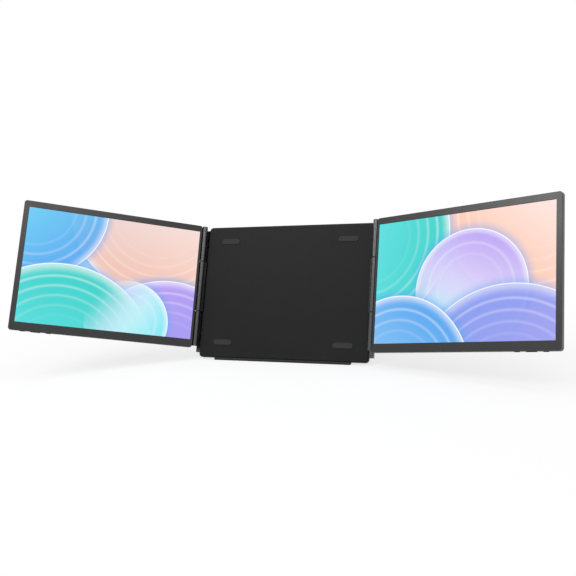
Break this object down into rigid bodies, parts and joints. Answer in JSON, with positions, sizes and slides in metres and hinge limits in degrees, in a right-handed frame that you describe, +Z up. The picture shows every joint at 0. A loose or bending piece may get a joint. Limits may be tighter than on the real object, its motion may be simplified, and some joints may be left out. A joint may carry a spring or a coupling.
{
  "type": "laptop screen extender",
  "caption": "Folding screen extender: a centre frame on a kickstand with a portable display hinged at each side, to stand behind a laptop.",
  "frame": {"origin": "middle of the underside of the foot strip that the centre frame stands on, on the desk", "axes": "+X to the right as the user sees the displays, +Y away from the user, +Z up"},
  "size_m": [0.8311, 0.2934, 0.2872],
  "materials": {
    "housing_plastic": "satin",
    "hinge_metal": "satin",
    "frame_plastic": "matte",
    "bare_steel": "satin",
    "dark_screws": "satin",
    "rubber": "matte",
    "leg_paint": "satin",
    "left_screen": "satin",
    "right_screen": "satin",
    "backlight_tray": "satin",
    "board_green": "satin",
    "socket_steel": "satin",
    "button_plastic": "satin",
    "washer_steel": "satin"
  },
  "bodies": {
    "centre_frame": {"frame_front": "frame_plastic", "frame_stiffener": "bare_steel", "frame_rear": "frame_plastic", "frame_screws": "dark_screws", "knuckle_screws": "dark_screws", "lid_pads": "rubber", "frame_foot": "rubber", "left_knuckle": "hinge_metal", "left_hinge_shaft": "bare_steel", "left_friction_washers": "washer_steel", "right_knuckle": "hinge_metal", "right_hinge_shaft": "bare_steel", "right_friction_washers": "washer_steel", "kickstand_pins": "bare_steel", "kickstand_brackets": "hinge_metal", "kickstand_screws": "dark_screws"},
    "left_display": {"left_bezel": "housing_plastic", "left_display_panel": "left_screen", "left_backlight": "backlight_tray", "left_rear_shell": "housing_plastic", "left_driver_board": "board_green", "left_sockets": "socket_steel", "left_switch_board": "board_green", "left_rocker_pin": "bare_steel", "left_upper_barrel": "hinge_metal", "left_lower_barrel": "hinge_metal", "left_barrel_caps": "hinge_metal", "left_shell_screws": "dark_screws"},
    "left_power_button_body": {"left_power_button": "button_plastic"},
    "left_menu_button_body": {"left_menu_button": "button_plastic"},
    "left_rocker_body": {"left_rocker": "button_plastic"},
    "right_display": {"right_bezel": "housing_plastic", "right_display_panel": "right_screen", "right_backlight": "backlight_tray", "right_rear_shell": "housing_plastic", "right_driver_board": "board_green", "right_sockets": "socket_steel", "right_switch_board": "board_green", "right_rocker_pin": "bare_steel", "right_upper_barrel": "hinge_metal", "right_lower_barrel": "hinge_metal", "right_barrel_caps": "hinge_metal", "right_shell_screws": "dark_screws"},
    "right_power_button_body": {"right_power_button": "button_plastic"},
    "right_menu_button_body": {"right_menu_button": "button_plastic"},
    "right_rocker_body": {"right_rocker": "button_plastic"},
    "kickstand": {"kickstand_leg": "leg_paint", "kickstand_foot": "rubber"}
  },
  "joints": [
    {"name": "left_display_hinge", "type": "hinge", "parent": "centre_frame", "child": "left_display", "pos_m": [-0.15625, 0.03136, 0.12101], "axis": [0, 0.342, 0.9397], "range_deg": [-70, 140]},
    {"name": "left_power_button_press", "type": "slide", "parent": "left_display", "child": "left_power_button_body", "axis": [0, 0.342, 0.9397], "range_m": [0, 0.0006], "stiffness_N_per_m": 1500},
    {"name": "left_menu_button_press", "type": "slide", "parent": "left_display", "child": "left_menu_button_body", "axis": [0, 0.342, 0.9397], "range_m": [0, 0.0006], "stiffness_N_per_m": 1500},
    {"name": "left_rocker_tilt", "type": "hinge", "parent": "left_display", "child": "left_rocker_body", "pos_m": [-0.35554, -0.1614, 0.08033], "axis": [0.6428, -0.7198, 0.262], "range_deg": [-3, 3], "stiffness_Nm_per_rad": 0.1},
    {"name": "right_display_hinge", "type": "hinge", "parent": "centre_frame", "child": "right_display", "pos_m": [0.15625, 0.0214, 0.12463], "axis": [0, -0.342, -0.9397], "range_deg": [-50, 160]},
    {"name": "right_power_button_press", "type": "slide", "parent": "right_display", "child": "right_power_button_body", "axis": [0, 0.342, 0.9397], "range_m": [0, 0.0006], "stiffness_N_per_m": 1500},
    {"name": "right_menu_button_press", "type": "slide", "parent": "right_display", "child": "right_menu_button_body", "axis": [0, 0.342, 0.9397], "range_m": [0, 0.0006], "stiffness_N_per_m": 1500},
    {"name": "right_rocker_tilt", "type": "hinge", "parent": "right_display", "child": "right_rocker_body", "pos_m": [0.40071, -0.09784, 0.05719], "axis": [-0.342, -0.883, 0.3214], "range_deg": [-3, 3], "stiffness_Nm_per_rad": 0.1},
    {"name": "kickstand_hinge", "type": "hinge", "parent": "centre_frame", "child": "kickstand", "pos_m": [0, 0.0598, 0.15705], "axis": [1, 0, 0], "range_deg": [-35, 45]}
  ]
}
